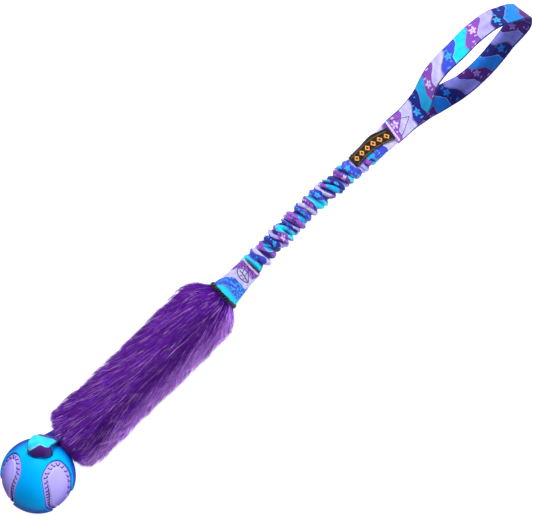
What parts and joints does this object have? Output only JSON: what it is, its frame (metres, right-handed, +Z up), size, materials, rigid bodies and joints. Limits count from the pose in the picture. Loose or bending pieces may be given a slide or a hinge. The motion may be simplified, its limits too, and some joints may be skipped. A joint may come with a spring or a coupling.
{
  "type": "bungee tug toy",
  "caption": "Dog tug toy: rubber ball on a webbing strap, plush tube, gathered bungee sleeve that stretches, and a webbing grip loop.",
  "frame": {"origin": "under the middle of the toy's bounding box, on the surface that it lies on", "axes": "+X along the toy from the ball to the grip loop, +Z up as it lies on its side"},
  "size_m": [0.5983, 0.0621, 0.0639],
  "materials": {
    "blue_rubber": "satin",
    "lilac_rubber": "satin",
    "purple_plush": "long pile",
    "printed_webbing": "printed flat webbing",
    "printed_sleeve": "printed satin, gathered",
    "black_binding": "woven",
    "black_label": "woven",
    "dark_thread": "thread",
    "pale_thread": "thread",
    "latex": "satin",
    "braid": "braided"
  },
  "bodies": {
    "plush": {"fur_sleeve": "purple_plush", "core_strap": "printed_webbing", "strap_bar_tack": "dark_thread", "neck_band": "black_binding", "neck_stitching": "black_binding"},
    "ball": {"ball_shell": "blue_rubber", "ball_core": "lilac_rubber", "ball_loop": "printed_webbing"},
    "neck": {"sleeve_lower_end": "printed_sleeve", "lower_stitching": "dark_thread", "lower_bar_tack": "pale_thread"},
    "bungee": {"bungee_sleeve": "printed_sleeve", "bungee_jacket": "braid", "bungee_core": "latex"},
    "handle_foot": {"sleeve_upper_end": "printed_sleeve", "label": "black_label", "label_stitching": "dark_thread", "handle_base_top": "printed_webbing", "handle_base_bottom": "printed_webbing", "handle_stitching": "dark_thread", "upper_bar_tack": "pale_thread"},
    "grip": {"handle_loop": "printed_webbing"}
  },
  "joints": [
    {"name": "ball_swing", "type": "hinge", "parent": "plush", "child": "ball", "pos_m": [-0.22975, 0.012, 0.0285], "axis": [0, 1, 0], "range_deg": [-20, 40]},
    {"name": "neck_bend", "type": "hinge", "parent": "plush", "child": "neck", "pos_m": [-0.04575, 0.0012, 0.0125], "axis": [0, 1, 0], "range_deg": [-60, 60]},
    {"name": "bungee_sway", "type": "hinge", "parent": "neck", "child": "bungee", "pos_m": [-0.00495, 0.00285, 0.011], "axis": [0, 0, 1], "range_deg": [-45, 45]},
    {"name": "bungee_stretch", "type": "slide", "parent": "bungee", "child": "handle_foot", "axis": [1, 0, 0], "range_m": [0, 0.12], "stiffness_N_per_m": 400, "deforming": ["bungee_sleeve", "bungee_jacket", "bungee_core"]},
    {"name": "handle_swing", "type": "hinge", "parent": "handle_foot", "child": "grip", "pos_m": [0.17275, 0.0008, 0.0113], "axis": [0, 1, 0], "range_deg": [-75, 75]}
  ]
}
